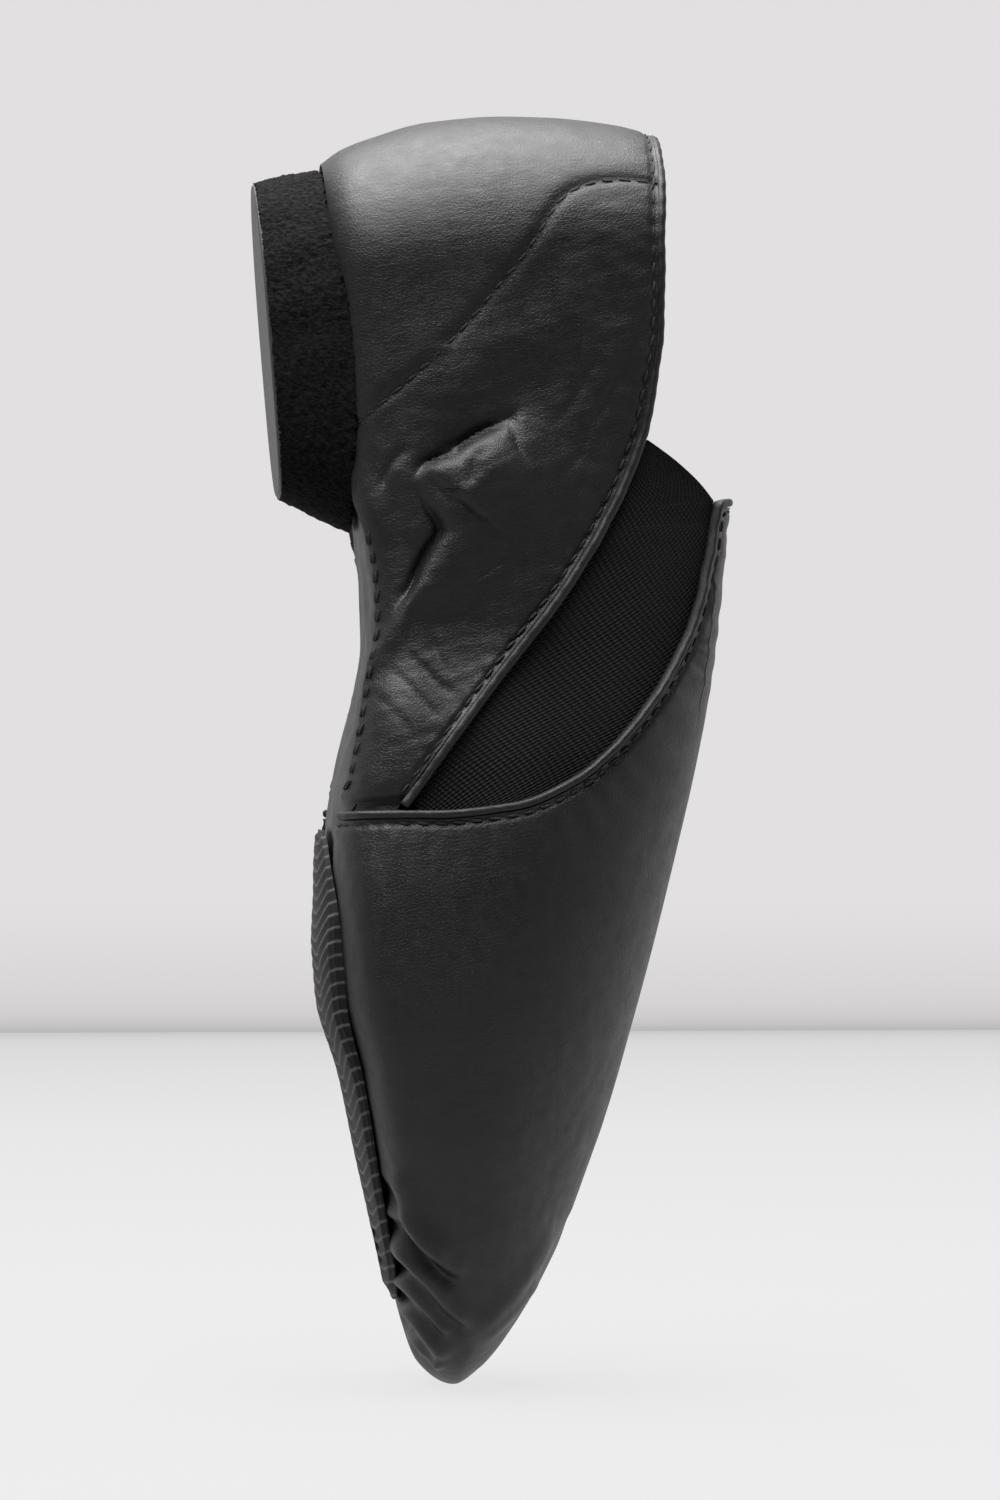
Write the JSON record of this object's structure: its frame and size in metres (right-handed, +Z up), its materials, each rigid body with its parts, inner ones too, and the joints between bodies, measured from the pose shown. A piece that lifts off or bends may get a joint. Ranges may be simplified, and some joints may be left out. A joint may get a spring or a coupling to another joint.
{
  "type": "slip-on split-sole jazz dance shoe",
  "caption": "Black leather slip-on dance shoe with a split sole, mesh instep gussets, low suede-wrapped heel pad and ribbed rubber forepart sole.",
  "frame": {"origin": "middle of the heel pad's tread, on the floor the shoe stands on", "axes": "+X from heel to toe, +Z up, +Y towards the inner (medial) side of this right shoe"},
  "size_m": [0.247, 0.0839, 0.0893],
  "materials": {
    "upper_leather": "soft satin, fine grain",
    "gusset_mesh": "elastic mesh",
    "lining_cloth": "matt knitted cloth",
    "heel_suede": "napped suede",
    "sole_rubber": "matt, ribbed",
    "lift_rubber": "smooth satin",
    "fibre_board": "matt",
    "foam": "open-cell foam"
  },
  "bodies": {
    "forepart": {"vamp": "upper_leather", "vamp_lining": "lining_cloth", "throat_binding": "upper_leather", "mesh_gusset_lateral": "gusset_mesh", "mesh_gusset_medial": "gusset_mesh", "arch_panel": "upper_leather", "forepart_filler": "fibre_board", "forepart_insole_board": "fibre_board", "footbed_foam": "foam", "sock_liner": "lining_cloth", "forepart_sole": "sole_rubber"},
    "heel": {"quarter_lateral": "upper_leather", "quarter_medial": "upper_leather", "quarter_lining_lateral": "lining_cloth", "quarter_lining_medial": "lining_cloth", "topline_binding": "upper_leather", "heel_counter": "fibre_board", "heel_filler": "fibre_board", "heel_insole_board": "fibre_board", "heel_block": "sole_rubber", "heel_cover": "heel_suede", "heel_top_lift": "lift_rubber"}
  },
  "joints": [
    {"name": "arch_flex", "type": "hinge", "parent": "forepart", "child": "heel", "pos_m": [0.07, 0, 0.016], "axis": [0, -1, 0], "range_deg": [-6, 16], "stiffness_Nm_per_rad": 1.5, "deforming": ["quarter_lateral", "quarter_medial", "quarter_lining_lateral", "quarter_lining_medial", "topline_binding", "mesh_gusset_lateral", "mesh_gusset_medial", "arch_panel", "footbed_foam", "sock_liner"]}
  ]
}
